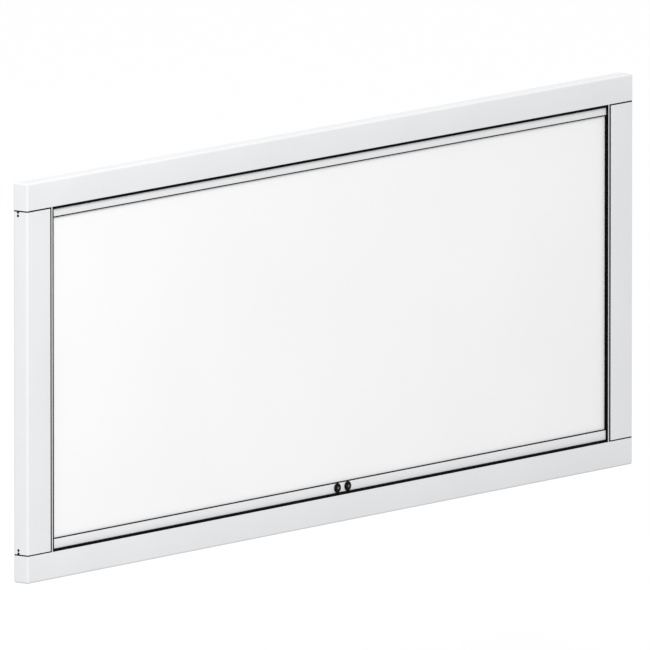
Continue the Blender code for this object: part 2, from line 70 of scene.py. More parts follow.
clearance = 0.0003
front_y = rail_low[1]
frame_depth = rail_high[1] - front_y
wall_depth = cleat_high[1] - front_y
half_width = box_of("top_right_end_cap")[1][0]
half_height = rail_high[2]
rail_length = rail_high[0]
stile_length = box_of("right_stile")[1][2]
seam_height = stile_length + clearance
rail_face = half_height - seam_height
trim_inside = box_of("right_film_seal")[0][0]
sheet_front = sheet_low[1] - front_y
sheet_back = sheet_high[1] - front_y

# Frame extrusions, as the frame has them
stile_face = 0.080
edge_radius = 0.0044
inner_edge_radius = 0.0008
outer_wall = 0.002
inner_wall = 0.003
hollow_corner = 0.0005
groove_depth = 0.0012
groove_height = 0.0024
groove_centre = 0.0052
groove_front = groove_centre - groove_height / 2
groove_back = groove_centre + groove_height / 2
groove_lip = 0.0002
ledge_thickness = 0.0025
ledge_rim = 0.0009
ledge_chamfer = 0.0004
rail_ledge = 0.026
stile_ledge = 0.020
bracket_thickness = 0.010
stile_inside = half_width - stile_face
ledge_front = sheet_back + clearance
ledge_back = ledge_front + ledge_thickness

# Each stile's end steps in a little, for the black sealant that is wiped into the joint
joint_width = 0.0027
joint_depth = 0.0003

# Strips, beads and seals round the film
strip_setback = 0.0048
strip_web = 0.0014
strip_reach = {"top": 0.025, "bottom": 0.029}
strip_back = sheet_front - clearance
bead_width = 0.0089
bead_setback = 0.0008
bead_nose = 0.0008
rail_seal_width = 0.0056
stile_seal_width = 0.0044
film_seal_width = 0.0020
film_seal_nose = 0.0004
side_film_seal_width = 0.0030
seal_setback = 0.0003
seal_nose = 0.0005
seal_steps = 8

# Radii of the screws' shanks and of the holes that they go through
grub_shank = 0.003
grub_hole = grub_shank + clearance
pan_shank = 0.0017
pan_hole = pan_shank + clearance
clamp_shank = 0.0025
clamp_hole = clamp_shank + clearance
wall_hole = 0.0025
wall_hole_rise = 0.014

# Bent plate of the hangers and cleats
plate_thickness = 0.0015
plate_edge = 0.0004
plate_steps = 6
inner_bend = 0.0006
outer_bend = inner_bend + plate_thickness
hook_foot_gap = 0.001

# Facets and cutters
arc_steps = 10
smooth_angle = 32
drill_sides = 32
cutter_margin = 0.002

# The camera, from the drawing's parallel projection
view_azimuth = -52.0
view_elevation = 8.575
view_aim = (-0.0322, 0.0060)
view_width = 1.431
view_lens = 1700.0
sensor_width = 36.0

# Light and floor
world_light = 0.87
key_place = (-6.2, -4.9, 4.6)
key_size = 3.0
key_power = 345.0
floor_drop = 0.75
floor_reach = 14.0
floor_grey = (0.5, 0.5, 0.5, 1.0)
floor_glow = 0.55
white = (1.0, 1.0, 1.0, 1.0)

# Names that repeat, each with the way that it lies along Z or X
levels = (("top", 1), ("bottom", -1))
hands = (("left", -1), ("right", 1))
hanger_screws = [f"{hand}_hanger_screw_{number}" for hand, _ in hands for number in (1, 2)]


def y_of(depth):
    """World Y of a depth behind the frame's front face."""
    return depth + front_y


def linear(hex_colour):
    """An sRGB hex colour as linear red, green, blue and alpha."""
    values = [int(hex_colour[i:i + 2], 16) / 255 for i in (1, 3, 5)]
    lights = [v / 12.92 if v <= 0.04045 else ((v + 0.055) / 1.055) ** 2.4 for v in values]
    return (*lights, 1.0)


def node(tree, kind, settings=(), **inputs):
    """Adds a node, sets its properties, and sets or links its inputs by name, or by number where
    the name is an underscore and a number."""
    made = tree.nodes.new(kind)
    for name, value in dict(settings).items():
        setattr(made, name, value)
    for name, value in inputs.items():
        key = int(name[1:]) if name[0] == "_" else name.replace("_", " ")
        if isinstance(value, bpy.types.NodeSocket):
            tree.links.new(value, made.inputs[key])
        else:
            made.inputs[key].default_value = value
    return made


def finish_base(name, **sockets):
    """A material whose Principled shader has its plain sockets set, with its tree and shader."""
    material = bpy.data.materials.new(name)
    material.use_nodes = True
    tree = material.node_tree
    shader = tree.nodes["Principled BSDF"]
    for socket, value in sockets.items():
        shader.inputs[socket.replace("_", " ")].default_value = value
    return material, tree, shader


def mottle(tree, size, stretch=(1.0, 1.0, 1.0), detail=2.0):
    """Uneven patches about size metres across, drawn out by stretch along X, Y and Z."""
    place = node(tree, "ShaderNodeTexCoord").outputs["Object"]
    scale = tuple(1.0 / (size * factor) for factor in stretch)
    mapping = node(tree, "ShaderNodeMapping", Vector=place, Scale=scale)
    return node(tree, "ShaderNodeTexNoise", Vector=mapping.outputs[0], Scale=1.0, Detail=detail)


def tint(tree, shader, pattern, dark, light, low=0.3, high=0.7):
    """Lets a pattern carry the base colour between two close tones."""
    ramp = node(tree, "ShaderNodeValToRGB", Fac=pattern.outputs[0])
    for stop, place, colour in zip(ramp.color_ramp.elements, (low, high), (dark, light)):
        stop.position = place
        stop.color = linear(colour)
    tree.links.new(ramp.outputs[0], shader.inputs["Base Color"])


def vary_roughness(tree, shader, pattern, low, high):
    """Lets a pattern carry the roughness between two values."""
    span = node(tree, "ShaderNodeMapRange", Value=pattern.outputs[0], To_Min=low, To_Max=high)
    tree.links.new(span.outputs[0], shader.inputs["Roughness"])


def relief(tree, shader, pattern, depth, strength=0.5):
    """Turns a pattern into a bump of a real depth in metres."""
    bump = node(tree, "ShaderNodeBump", Height=pattern.outputs[0], Strength=strength, Distance=depth)
    tree.links.new(bump.outputs[0], shader.inputs["Normal"])


def powder_coat(name, dark, light):
    """Satin powder coat on extruded aluminium: even colour and a fine orange peel in the gloss."""
    material, tree, shader = finish_base(name, Metallic=0.0, IOR=1.5)
    tint(tree, shader, mottle(tree, 0.18), dark, light)
    # Real orange peel is about 1 mm across, and a render pixel 2 mm, so it is drawn at 2.5 mm
    peel = mottle(tree, 0.0025, detail=3.0)
    vary_roughness(tree, shader, peel, 0.36, 0.46)
    relief(tree, shader, peel, 0.00006, 0.35)
    return material


def extruded_plastic(name, dark, light):
    """Satin extruded plastic: faint lines along the length it was drawn in."""
    material, tree, shader = finish_base(name, IOR=1.46)
    lines = mottle(tree, 0.0012, stretch=(1.0, 1.0, 60.0))
    tint(tree, shader, lines, dark, light)
    vary_roughness(tree, shader, lines, 0.42, 0.55)
    relief(tree, shader, lines, 0.00004, 0.3)
    return material


def black_rubber(name):
    """Extruded black rubber: deep black and dull, with a faint bloom where it has been handled."""
    material, tree, shader = finish_base(name, IOR=1.52, Specular_IOR_Level=0.05)
    bloom = mottle(tree, 0.02, stretch=(3.0, 1.0, 1.0), detail=4.0)
    tint(tree, shader, bloom, "#030304", "#08080a")
    vary_roughness(tree, shader, bloom, 0.65, 0.8)
    relief(tree, shader, mottle(tree, 0.0009, detail=3.0), 0.00004, 0.4)
    return material


def joint_sealant(name):
    """Black silicone wiped into a joint: smooth, with the slight waves that a finger leaves."""
    material, tree, shader = finish_base(name, IOR=1.41, Specular_IOR_Level=0.08)
    waves = mottle(tree, 0.006, detail=2.0)
    tint(tree, shader, waves, "#040405", "#09090a")
    vary_roughness(tree, shader, waves, 0.5, 0.65)
    relief(tree, shader, waves, 0.00005, 0.3)
    return material


def black_oxide(name):
    """Black oxide on steel: dark and oily, so that a small light shows on a rounded rim."""
    material, tree, shader = finish_base(name, IOR=1.5, Specular_IOR_Level=0.1)
    grain = mottle(tree, 0.0015, detail=4.0)
    tint(tree, shader, grain, "#030304", "#070708")
    vary_roughness(tree, shader, grain, 0.22, 0.34)
    return material


def socket_highlight_steel(name):
    """Bright steel in the screws' sockets: a painted highlight, with fine scratches along the socket.
    """
    material, tree, shader = finish_base(name, Metallic=1.0)
    scratches = mottle(tree, 0.0006, stretch=(1.0, 12.0, 1.0), detail=3.0)
    tint(tree, shader, scratches, "#9a9c9f", "#c9cbcd")
    vary_roughness(tree, shader, scratches, 0.35, 0.5)
    return material


def zinc_plate(name):
    """Bright zinc on steel: a cool metal with soft clouds from the plating bath."""
    material, tree, shader = finish_base(name, Metallic=1.0)
    clouds = mottle(tree, 0.012, detail=5.0)
    tint(tree, shader, clouds, "#b4b8bd", "#d2d4d6")
    vary_roughness(tree, shader, clouds, 0.24, 0.4)
    relief(tree, shader, mottle(tree, 0.0007, detail=2.0), 0.00003, 0.3)
    return material


def mill_aluminium(name):
    """Mill-finish aluminium: fine upright lines, along the way it went through the die."""
    material, tree, shader = finish_base(name, Metallic=1.0)
    lines = mottle(tree, 0.0012, stretch=(1.0, 1.0, 80.0), detail=3.0)
    tint(tree, shader, lines, "#c3c6c9", "#dadcdd")
    vary_roughness(tree, shader, lines, 0.3, 0.45)
    relief(tree, shader, lines, 0.00004, 0.4)
    return material


def cast_alloy(name):
    """Die-cast zinc alloy: grey, with a faintly sandy skin."""
    material, tree, shader = finish_base(name, Metallic=0.9)
    skin = mottle(tree, 0.0016, detail=5.0)
    tint(tree, shader, skin, "#8d9093", "#a9acae")
    vary_roughness(tree, shader, skin, 0.45, 0.6)
    relief(tree, shader, skin, 0.00008, 0.5)
    return material


def projection_film(name):
    """Matt white projection film: no gloss, and a fine even emboss that spreads the light."""
    material, tree, shader = finish_base(name, Roughness=0.95, IOR=1.4, Specular_IOR_Level=0.12)
    tint(tree, shader, mottle(tree, 0.35, detail=1.0), "#fafafa", "#fcfcfc")
    # The emboss is about 0.5 mm across, and is drawn at 2.4 mm so that it shows at all
    relief(tree, shader, mottle(tree, 0.0024, detail=2.0), 0.00005, 0.25)
    return material


def film_backing(name):
    """Dark grey woven backing of the film, which keeps light from shining through."""
    material, tree, shader = finish_base(name, Roughness=0.85, Sheen_Weight=0.15)
    place = node(tree, "ShaderNodeTexCoord").outputs["Object"]
    # Threads 1 mm apart, drawn 3 mm apart so that they show; a wave repeats every 2 pi / 20 / scale
    scale = 2 * math.pi / 20 / 0.003
    threads = []
    for direction in ("X", "Z"):
        wave = node(tree, "ShaderNodeTexWave", {"bands_direction": direction, "wave_type": "BANDS"},
                    Vector=place, Scale=scale, Distortion=0.3)
        threads.append(wave.outputs["Fac"])
    weave = node(tree, "ShaderNodeMath", {"operation": "MULTIPLY"}, _0=threads[0], _1=threads[1])
    tint(tree, shader, weave, "#34363a", "#4a4c50", 0.0, 1.0)
    relief(tree, shader, weave, 0.0001, 0.5)
    return material


def rounded(corners, steps=arc_steps):
    """An outline whose corners (u, v, radius) are arcs: each runs between its two tangent points,
    about a centre on the corner's bisector at radius / sin(half the corner's angle)."""
    corners = np.array(corners, float)
    outline = []
    for i, (u, v, radius) in enumerate(corners):
        corner = np.array([u, v])
        if radius == 0:
            outline.append(corner)
            continue
        back = corners[i - 1, :2] - corner
        ahead = corners[(i + 1) % len(corners), :2] - corner
        back /= np.linalg.norm(back)
        ahead /= np.linalg.norm(ahead)
        half = math.acos(np.clip(back @ ahead, -1, 1)) / 2
        bisector = (back + ahead) / np.linalg.norm(back + ahead)
        centre = corner + bisector * radius / math.sin(half)
        start = corner + back * radius / math.tan(half) - centre
        end = corner + ahead * radius / math.tan(half) - centre
        turn = math.pi - 2 * half
        t = np.linspace(0, 1, steps + 1)[:, None]
        arc = (np.sin((1 - t) * turn) * start + np.sin(t * turn) * end) / math.sin(turn)
        outline.extend(centre + arc)
    return np.array(outline)


def moved_in(outline, amount):
    """The outline with its edges moved in by an amount: each point moves against the sum of its two
    edges' unit normals, over 1 + their dot product, which is taken as 0.5 at least."""
    following = np.roll(outline, -1, axis=0)
    ahead = following - outline
    normal = np.stack([ahead[:, 1], -ahead[:, 0]], axis=1)
    normal /= np.linalg.norm(normal, axis=1)[:, None]
    area = np.sum(outline[:, 0] * following[:, 1] - outline[:, 1] * following[:, 0])
    outward = (normal + np.roll(normal, 1, axis=0)) * np.sign(area)
    outward /= np.maximum(np.sum(outward * outward, axis=1) / 2, 0.5)[:, None]
    return outline - outward * amount


def linked(name, data):
    """An object for a mesh, with its faces pointing out."""
    shape = bmesh.new()
    shape.from_mesh(data)
    bmesh.ops.recalc_face_normals(shape, faces=shape.faces)
    shape.to_mesh(data)
    shape.free()
    piece = bpy.data.objects.new(name, data)
    bpy.context.scene.collection.objects.link(piece)
    return piece


def skinned(name, rings, closed=False):
    """A mesh over rings of points, shape (rings, points, 3): quads between neighbouring rings, and
    either a face on each end ring or quads that join the last ring to the first."""
    rings = np.asarray(rings, float)
    count, around = rings.shape[:2]
    spans = np.arange(count if closed else count - 1)
    ring, point = np.meshgrid(spans, np.arange(around), indexing="ij")
    next_ring, next_point = (ring + 1) % count, (point + 1) % around
    quads = np.stack([ring * around + point, ring * around + next_point,
                      next_ring * around + next_point, next_ring * around + point], -1)
    faces = quads.reshape(-1, 4).tolist()
    if not closed:
        faces += [list(range(around)), list(range((count - 1) * around, count * around))]
    data = bpy.data.meshes.new(name)
    data.from_pydata(rings.reshape(-1, 3).tolist(), [], faces)
    return linked(name, data)


def carried(name, outline, low, high, place, chamfer=0.0):
    """An outline carried along a straight line from low to high, with chamfered ends.
    place(points, along) gives world positions."""
    outline = np.asarray(outline, float)
    if chamfer:
        small = moved_in(outline, chamfer)
        stations = [(low, small), (low + chamfer, outline), (high - chamfer, outline), (high, small)]
    else:
        stations = [(low, outline), (high, outline)]
    return skinned(name, np.stack([place(points, along) for along, points in stations]))


def along_x(side):
    """Puts points (h, d) of the top (1) or bottom (-1) rail's section at a distance along X."""
    return lambda points, along: np.stack(
        [np.full(len(points), along), y_of(points[:, 1]), side * (half_height - points[:, 0])], 1)


def along_z(side):
    """Puts points (h, d) of the right (1) or left (-1) stile's section at a distance along Z."""
    return lambda points, along: np.stack(
        [side * (half_width - points[:, 0]), y_of(points[:, 1]), np.full(len(points), along)], 1)


def side_profile(points, along):
    """Puts points (d, z) of a section at a distance along X."""
    return np.stack([np.full(len(points), along), y_of(points[:, 0]), points[:, 1]], 1)


def hexagon(angle):
    """How far a hexagon reaches at each angle, for a half width of 1 across its flats: 1 over the
    cosine of the angle from the middle of the nearest flat."""
    return 1 / np.cos(angle % (np.pi / 3) - np.pi / 6)


def turned(name, profile, head, facing, sides, flats=()):
    """A turned piece: row k of the profile is (radius, along), where along runs from the head's
    centre against the way it faces. Rows numbered in flats are hexagons of that half width."""
    facing = np.array(facing, float)
    up = np.array([0.0, 0.0, 1.0])
    other = np.cross(facing, up)
    angle = 2 * np.pi * np.arange(sides) / sides
    circle = up * np.cos(angle)[:, None] + other * np.sin(angle)[:, None]
    profile = np.array(profile, float)
    radius = np.repeat(profile[:, :1], sides, axis=1)
    for row in flats:
        radius[row] = profile[row, 0] * hexagon(angle)
    rings = np.array(head) - facing * profile[:, 1, None, None] + circle * radius[:, :, None]
    return skinned(name, rings)


def quarter_round(radius, top, rim, turn):
    """Profile rows that round a head's rim: a quarter circle of radius rim, from the face, which
    lies top above the seat, to the head's full radius."""
    return [(radius - rim + rim * math.sin(a), -top + rim * (1 - math.cos(a))) for a in turn]


def carve(piece, cuts=(), joins=()):
    """Joins shapes on to a piece and cuts others out of it, and keeps only the result."""
    tools = [(tool, "UNION") for tool in joins] + [(tool, "DIFFERENCE") for tool in cuts]
    for tool, operation in tools:
        modifier = piece.modifiers.new(tool.name, "BOOLEAN")
        modifier.operation = operation
        modifier.solver = "EXACT"
        modifier.object = tool
    depsgraph = bpy.context.evaluated_depsgraph_get()
    result = bpy.data.meshes.new_from_object(piece.evaluated_get(depsgraph))
    piece.modifiers.clear()
    piece.data = result
    for tool, _ in tools:
        bpy.data.objects.remove(tool, do_unlink=True)
    return piece


def complete(piece, material, slot, stands_for):
    """Finishes a piece: material, smooth shading, its body and the CAD node it replaces; slot is not
    used.
    """
    piece.data.materials.clear()
    piece.data.materials.append(material)
    piece.data.shade_smooth()
    piece.data.set_sharp_from_angle(angle=math.radians(smooth_angle))
    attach(piece, "root")
    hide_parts(stands_for)


def face_centres(piece):
    """The middle of each face of a finished piece."""
    centres = np.empty(len(piece.data.polygons) * 3)
    piece.data.polygons.foreach_get("center", centres)
    return centres.reshape(-1, 3)


def second_material(piece, material, which):
    """Gives a piece a second material on the faces where which is true."""
    piece.data.materials.append(material)
    piece.data.polygons.foreach_set("material_index", which.astype(np.int32))


def drill(name, radius, head, facing, length):
    """A round cutter that starts at its head and runs against the way it faces."""
    return turned(name, [(radius, 0.0), (radius, length)], head, facing, drill_sides)


def drill_from_behind(name, radius, x, z, back, wall):
    """A round cutter along Y through a wall of a thickness, whose back lies at the depth back. It
    goes a margin past the wall both ways."""
    head = (x, y_of(back + cutter_margin), z)
    return drill(name, radius, head, (0, 1, 0), wall + 2 * cutter_margin)


def box_cutter(name, low, high):
    """A box cutter between two corners."""
    low, high = np.minimum(low, high), np.maximum(low, high)
    u = np.array([low[0], high[0], high[0], low[0]])
    v = np.array([low[1], low[1], high[1], high[1]])
    return skinned(name, np.stack([np.stack([u, v, np.full(4, w)], 1) for w in (low[2], high[2])]))


def member_section(face):
    """Outside of a frame extrusion, with the groove for the push-in seals."""
    return rounded([
        (0, 0, edge_radius), (face, 0, inner_edge_radius), (face, groove_front, groove_lip),
        (face - groove_depth, groove_front, 0), (face - groove_depth, groove_back, 0),
        (face, groove_back, groove_lip), (face, frame_depth, inner_edge_radius),
        (0, frame_depth, edge_radius)])


def inner_section(near, reach):
    """Section inside a frame extrusion: near is its distance from the outer faces, whose round
    corners it follows, and reach is how far in it goes."""
    far = frame_depth - near
    corner = edge_radius - near
    return rounded([(near, near, corner), (reach, near, hollow_corner), (reach, far, hollow_corner),
                    (near, far, corner)])


def ledge_section(face, ledge):
    """Ledge behind the film's edge, with rounded rims so that it can't cut the film."""
    root = face - inner_wall / 2
    tip = face + ledge
    return rounded([(root, ledge_front, 0), (tip, ledge_front, ledge_rim),
                    (tip, ledge_back, ledge_rim), (root, ledge_back, 0)])


def rail_cuts(name, level, side):
    """What is cut out of a rail: its hollow, the slots for the brackets, and the screws' holes."""
    beyond = rail_length + cutter_margin
    hollow = inner_section(outer_wall, rail_face - inner_wall)
    cuts = [carried(name + "_hollow", hollow, -beyond, beyond, along_x(side))]
    for hand, across in hands:
        corner = f"{level}_{hand}"
        low, high = box_of(corner + "_corner_bracket")
        slot_inside = across * (half_width - outer_wall - 2 * clearance - bracket_thickness)
        slot_outside = across * (half_width + cutter_margin)
        slot_low = side * (seam_height - cutter_margin)
        slot_high = side * (seam_height + inner_wall + cutter_margin)
        cuts.append(box_cutter(corner + "_slot", (slot_inside, low[1] - clearance, slot_low),
                               (slot_outside, high[1] + clearance, slot_high)))
        x, _, z = middle_of(corner + "_back_screw")
        cuts.append(drill_from_behind(corner + "_back_hole", grub_hole, x, z, frame_depth, outer_wall))
    z = middle_of(level + "_brace_screw")[2]
    cuts.append(drill_from_behind(name + "_brace_hole", pan_hole, 0.0, z, ledge_back, ledge_thickness))
    if level == "top":
        for screw in hanger_screws:
            x, _, z = middle_of(screw)
            cuts.append(drill_from_behind(screw + "_hole", pan_hole, x, z, frame_depth, outer_wall))
    else:
        for hand, _ in hands:
            x, _, z = middle_of(hand + "_strip_screw")
            cuts.append(drill_from_behind(hand + "_strip_hole", clamp_hole, x, z, ledge_back,
                                          ledge_thickness))
    return cuts


def make_rails(paint):
    """Both rails: hollow extrusions with their ledges, bracket slots and screw holes."""
    ledge_length = stile_inside - clearance
    for level, side in levels:
        name = level + "_rail"
        rail = carried(name + "_extrusion", member_section(rail_face), -rail_length, rail_length,
                       along_x(side))
        ledge = carried(name + "_ledge", ledge_section(rail_face, rail_ledge), -ledge_length,
                        ledge_length, along_x(side), ledge_chamfer)
        carve(rail, rail_cuts(name, level, side), [ledge])
        complete(rail, paint, "frame", name)


def make_stiles(paint, sealant):
    """Both stiles: hollow extrusions with their ledges and screw holes, whose ends step in where the
    joint's black sealant lies."""
    outline = member_section(stile_face)
    narrow = moved_in(outline, joint_depth)
    step = stile_length - joint_width
    stations = [(-stile_length, narrow), (-step - joint_depth, narrow), (-step, outline),
                (step, outline), (step + joint_depth, narrow), (stile_length, narrow)]
    ledge_length = seam_height - rail_ledge - clearance
    beyond = stile_length + cutter_margin
    for hand, side in hands:
        name = hand + "_stile"
        place = along_z(side)
        stile = skinned(name + "_extrusion", np.stack([place(points, z) for z, points in stations]))
        ledge = carried(name + "_ledge", ledge_section(stile_face, stile_ledge), -ledge_length,
                        ledge_length, place, ledge_chamfer)
        hollow = inner_section(outer_wall, stile_face - inner_wall)
        cuts = [carried(name + "_hollow", hollow, -beyond, beyond, place)]
        for screw in [f"{level}_{hand}_side_screw_{n}" for level, _ in levels for n in (1, 2)]:
            _, y, z = middle_of(screw)
            head = (side * (half_width + cutter_margin), y, z)
            cuts.append(drill(screw + "_hole", grub_hole, head, (side, 0, 0),
                              outer_wall + 2 * cutter_margin))
        carve(stile, cuts, [ledge])
        complete(stile, paint, "frame", name)
        second_material(stile, sealant, np.abs(face_centres(stile)[:, 2]) > step)


def make_end_caps(paint):
    """The rails' ends: a plate whose rim turns over in a quarter circle, with a plug behind it."""
    corner_rest, seat_bevel = 0.0004, 0.0003
    plug_height, plug_length, plug_overlap, plug_chamfer = 0.013, 0.010, 0.0025, 0.0006
    rounding = edge_radius - corner_rest
    angle = np.linspace(0, np.pi / 2, arc_steps + 1)
    stations = [(rail_length, seat_bevel), (rail_length + seat_bevel, 0.0)]
    stations += list(zip(half_width - rounding + rounding * np.sin(angle),
                         rounding * (1 - np.cos(angle))))
    plug_outline = inner_section(outer_wall + clearance, plug_height)
    for level, side in levels:
        for hand, across in hands:
            name = f"{level}_{hand}_end_cap"
            place = along_x(side)
            rings = []
            for x, inset in stations:
                far = frame_depth - inset
                outline = rounded([(inset, inset, edge_radius - inset), (rail_face, inset, 0),
                                   (rail_face, far, 0), (inset, far, edge_radius - inset)])
                rings.append(place(outline, across * x))
            cap = skinned(name + "_plate", np.stack(rings))
            low, high = sorted((across * (rail_length - plug_length),
                                across * (rail_length + plug_overlap)))
            plug = carried(name + "_plug", plug_outline, low, high, place, plug_chamfer)
            complete(carve(cap, joins=[plug]), paint, "frame", name)


def make_strips(paint):
    """Cover strips along both rails: channels with a thin web in front, the lower one drilled for
    the two round screws."""
    outer_nose, inner_nose, corner, corner_steps, end_chamfer = 0.0004, 0.0006, 0.0003, 5, 0.0002
    start = rail_face + rail_seal_width + clearance
    web_back = strip_setback + strip_web
    length = trim_inside - clearance
    for level, side in levels:
        name = level + "_strip"
        end = rail_face + strip_reach[level] - film_seal_width - clearance
        outline = rounded([
            (start, strip_setback, outer_nose), (end, strip_setback, inner_nose),
            (end, strip_back, corner), (end - strip_web, strip_back, corner),
            (end - strip_web, web_back, corner), (start + strip_web, web_back, corner),
            (start + strip_web, strip_back, corner), (start, strip_back, corner)], corner_steps)
        strip = carried(name + "_cover", outline, -length, length, along_x(side), end_chamfer)
        if level == "bottom":
            cuts = []
            for hand, _ in hands:
                x, _, z = middle_of(hand + "_strip_screw")
                cuts.append(drill_from_behind(hand + "_cover_hole", clamp_hole, x, z, strip_back,
                                              strip_back - strip_setback))
            carve(strip, cuts)
        complete(strip, paint, "strip", name)


def push_in_section(start, end, back):
    """A seal with a rounded nose, and a barbed tongue that holds in the extrusion's groove."""
    tip = start - (groove_depth - clearance)
    tongue_back = groove_back - clearance
    tongue_front = groove_front + clearance
    near = start + clearance
    foot, root, barb = 0.0003, 0.0002, 0.0004
    return rounded([(near, seal_setback, seal_nose), (end, seal_setback, seal_nose),
                    (end, back, foot), (near, back, foot), (near, tongue_back, root),
                    (tip, tongue_back, barb), (tip, tongue_front, barb),
                    (near, tongue_front, root)], seal_steps)


def bar_section(start, end, front, back, nose):
    """A plain bar with a rounded nose in front."""
    foot = 0.0002
    return rounded([(start, front, nose), (end, front, nose), (end, back, foot),
                    (start, back, foot)], seal_steps)


def make_rail_trim(rubber):
    """Along each rail: the wide black seal in its groove, and the narrow one at the film."""
    length = trim_inside - clearance
    wide = push_in_section(rail_face, rail_face + rail_seal_width, sheet_back)
    for level, side in levels:
        reach = rail_face + strip_reach[level]
        narrow = bar_section(reach - film_seal_width, reach, strip_setback, strip_back, film_seal_nose)
        for ending, outline in (("_rail_seal", wide), ("_film_seal", narrow)):
            seal = carried(level + ending + "_rubber", outline, -length, length, along_x(side))
            complete(seal, rubber, "rubber", level + ending)


def make_stile_trim(rubber, plastic):
    """Along each stile: a black seal in its groove, a grey bead, and a black seal at the film."""
    length = seam_height - clearance
    bead_start = stile_face + stile_seal_width + clearance
    film_start = stile_face + bead_width + clearance
    outer = push_in_section(stile_face, stile_face + stile_seal_width, strip_back)
    bead = bar_section(bead_start, stile_face + bead_width, bead_setback, strip_back, bead_nose)
    inner = bar_section(film_start, film_start + side_film_seal_width, seal_setback, strip_back,
                        seal_nose)
    for hand, side in hands:
        for ending, outline, material, slot in (("_stile_seal", outer, rubber, "rubber"),
                                                ("_bead", bead, plastic, "bead"),
                                                ("_film_seal", inner, rubber, "rubber")):
            trim = carried(hand + ending + "_trim", outline, -length, length, along_z(side))
            complete(trim, material, slot, hand + ending)


def make_film(front_finish, back_finish):
    """The stretched film: two grids a film's thickness apart, joined round the rim. It is flat but
    for a ripple of under 0.1 mm: a slanting sine, times 1 - distance^8 from the middle both ways,
    so that it fades towards the clamped edge."""
    columns, rows = 260, 96
    ripple_height, ripple_length, ripple_slant, fade = 0.00008, 0.46, 3.1, 8
    x = np.linspace(sheet_low[0], sheet_high[0], columns)
    z = np.linspace(sheet_low[2], sheet_high[2], rows)
    grid_x, grid_z = np.meshgrid(x, z, indexing="ij")
    middle = (sheet_low[2] + sheet_high[2]) / 2
    across = 1 - np.abs(grid_x / sheet_high[0]) ** fade
    upright = 1 - np.abs((grid_z - middle) / (sheet_high[2] - middle)) ** fade
    wave = np.sin(grid_x * 2 * np.pi / ripple_length + grid_z * ripple_slant)
    ripple = ripple_height * across * upright * wave
    points = [np.stack([grid_x, y + ripple, grid_z], -1).reshape(-1, 3)
              for y in (sheet_low[1], sheet_high[1])]
    column, row = np.meshgrid(np.arange(columns - 1), np.arange(rows - 1), indexing="ij")
    corner = (column * rows + row).ravel()
    size = columns * rows
    front = np.stack([corner, corner + rows, corner + rows + 1, corner + 1], 1)
    back = front[:, ::-1] + size
    rim = np.concatenate([
        np.arange(columns) * rows, (columns - 1) * rows + np.arange(1, rows),
        np.arange(columns - 2, -1, -1) * rows + rows - 1, np.arange(rows - 2, 0, -1)])
    following = np.roll(rim, -1)
    edge = np.stack([rim, following, following + size, rim + size], 1)
    data = bpy.data.meshes.new("projection_film")
    data.from_pydata(np.concatenate(points).tolist(), [],
                     np.concatenate([front, back, edge]).tolist())
    film = linked("projection_film", data)
    complete(film, front_finish, "surface", "screen_surface")
    number = np.arange(len(data.polygons))
    second_material(film, back_finish, (number >= len(front)) & (number < len(front) + len(back)))


def make_strip_screws(steel, highlight_steel, zinc):
    """The two round black screws, with a low dome, a rounded rim and a hexagon socket painted bright
    as a highlight, and their nuts."""
    head_height, rim, crown, seat_bevel, tip_bevel = 0.0038, 0.0014, 0.0003, 0.0003, 0.0004
    socket, socket_depth, socket_edge = 0.0025, 0.0022, 0.0003
    dome_start, dome_steps = 0.45, 7
    dome = np.linspace(dome_start, 1.0, dome_steps + 1)
    turn = np.linspace(0, np.pi / 2, arc_steps + 1)[1:]
    for hand, _ in hands:
        low, high = box_of(hand + "_strip_screw")
        radius = (high[0] - low[0]) / 2
        seat = ((low[0] + high[0]) / 2, low[1] + head_height, (low[2] + high[2]) / 2)
        tip = high[1] - seat[1]
        profile = [(socket, socket_depth - head_height), (socket, socket_edge - head_height),
                   (socket + socket_edge, -head_height)]
        profile += [((radius - rim) * t, -head_height + crown * t * t) for t in dome]
        profile += quarter_round(radius, head_height - crown, rim, turn)
        profile += [(radius, -seat_bevel), (radius - seat_bevel, 0.0), (clamp_shank, 0.0),
                    (clamp_shank, tip - tip_bevel), (clamp_shank - tip_bevel, tip)]
        screw = turned(hand + "_clamp_screw", profile, seat, (0, -1, 0), sides=72, flats=(0, 1))
        complete(screw, steel, "black_steel", hand + "_strip_screw")
        # The faces in the head that lie nearer to the axis than this get bright steel, a painted
        # highlight
        highlight_radius = socket + 1.5 * socket_edge
        centres = face_centres(screw)
        off_axis = np.hypot(centres[:, 0] - seat[0], centres[:, 2] - seat[2])
        in_head = centres[:, 1] < seat[1]
        second_material(screw, highlight_steel, (off_axis < highlight_radius) & in_head)
        make_nut(hand, zinc)


def make_nut(hand, zinc):
    """A hexagon nut: its outside is the lesser of a hexagon and a chamfer circle, its inside round."""
    corner_share, bevel, hole_bevel, sides = 1.04, 0.0006, 0.0004, 72
    low, high = box_of(hand + "_strip_nut")
    middle = (low + high) / 2
    height = high[1] - low[1]
    flats = (high[0] - low[0]) / 2
    angle = 2 * np.pi * np.arange(sides) / sides
    outside = flats * hexagon(angle)
    chamfer = np.minimum(outside, flats * corner_share)
    hole = np.full(sides, clamp_hole)
    stations = [(chamfer, 0.0), (outside, bevel), (outside, height - bevel), (chamfer, height),
                (hole + hole_bevel, height), (hole, height - hole_bevel), (hole, hole_bevel),
                (hole + hole_bevel, 0.0)]
    rings = [np.stack([middle[0] + r * np.sin(angle), np.full(sides, high[1] - d),
                       middle[2] + r * np.cos(angle)], 1) for r, d in stations]
    nut = skinned(hand + "_clamp_nut", np.stack(rings), closed=True)
    complete(nut, zinc, "zinc_steel", hand + "_strip_nut")


